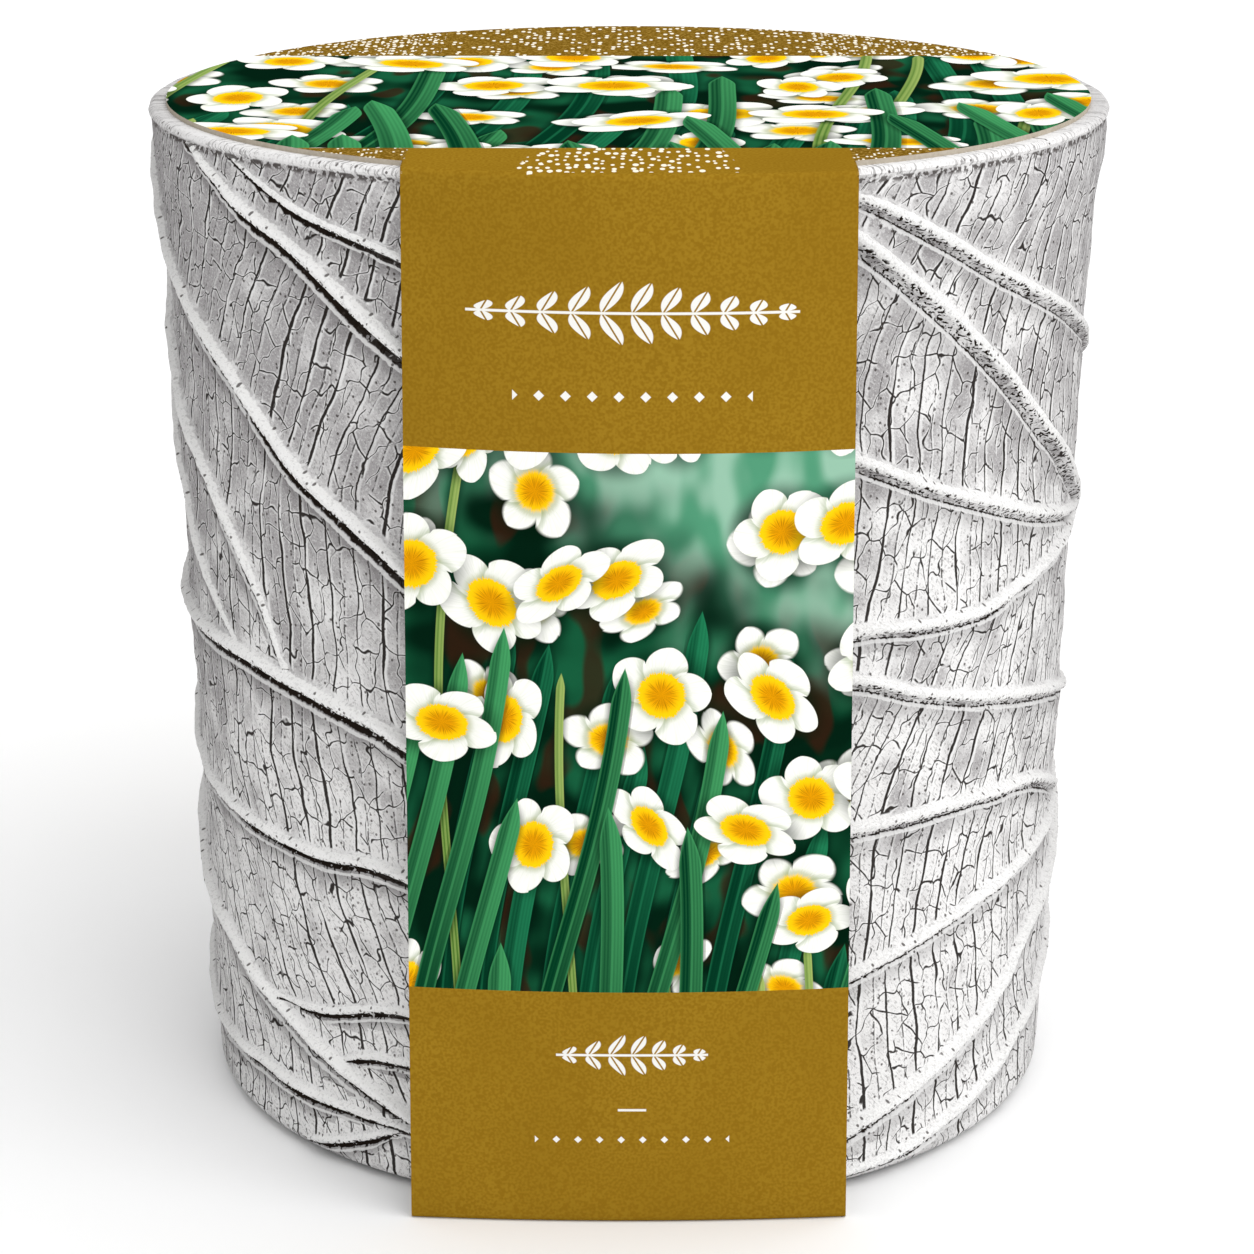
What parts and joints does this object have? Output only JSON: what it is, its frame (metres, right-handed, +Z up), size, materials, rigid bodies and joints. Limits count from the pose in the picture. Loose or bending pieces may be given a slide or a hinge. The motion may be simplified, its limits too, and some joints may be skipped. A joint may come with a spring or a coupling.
{
  "type": "indoor bulb planter in a card sleeve",
  "caption": "Round cast pot with leaf ribs in relief, filled with growing medium and bulbs, wrapped over its top, front and back by a printed card sleeve.",
  "frame": {"origin": "middle of the underside of the sleeve's base panel, which the planter stands on", "axes": "+Z up out of the mouth; the front strip of the sleeve faces -Y; +X is to the right seen from the front"},
  "size_m": [0.12, 0.122, 0.1288],
  "materials": {
    "whitewashed_cast": "matte",
    "printed_card": "satin",
    "growing_medium": "matte",
    "bulb_tunic": "satin"
  },
  "bodies": {
    "root": {"pot": "whitewashed_cast", "card_sleeve": "printed_card", "growing_medium": "growing_medium", "bulb_1": "bulb_tunic", "bulb_2": "bulb_tunic", "bulb_3": "bulb_tunic", "bulb_4": "bulb_tunic", "bulb_5": "bulb_tunic"}
  },
  "joints": []
}
